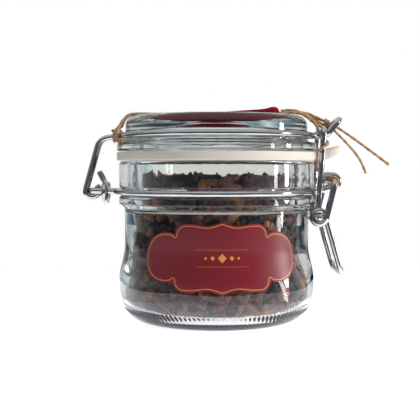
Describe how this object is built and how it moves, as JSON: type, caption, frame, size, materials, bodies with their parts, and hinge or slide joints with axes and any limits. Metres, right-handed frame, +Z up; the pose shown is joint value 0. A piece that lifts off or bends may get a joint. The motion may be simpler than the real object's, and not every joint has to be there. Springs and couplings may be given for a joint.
{
  "type": "clip-top glass jar of whole cloves",
  "caption": "Small clip-top glass storage jar of whole cloves, clamped shut, with a red paper label and jute twine tied over its lid.",
  "frame": {"origin": "middle of the flat underside of the jar", "axes": "+X towards the clasp, -Y towards the side with the front label, +Z up"},
  "size_m": [0.1225, 0.0802, 0.0851],
  "materials": {
    "jar_glass": "clear moulded glass",
    "lid_glass": "clear moulded glass",
    "gasket": "matt off-white rubber",
    "wire": "bright plated steel wire",
    "label_paper": "satin crimson paper",
    "cloves": "dry and matt",
    "twine": "natural jute"
  },
  "bodies": {
    "root": {"jar_glass": "jar_glass", "lid_glass": "lid_glass", "gasket": "gasket", "lid_wire": "wire", "neck_wire": "wire", "hinge_stop": "wire", "clasp_link": "wire", "clasp_lever": "wire", "front_label": "label_paper", "lid_label": "label_paper", "cloves": "cloves", "twine_long": "twine", "twine_short": "twine", "twine_hinge_wrap": "twine", "twine_clasp": "twine"}
  },
  "joints": []
}
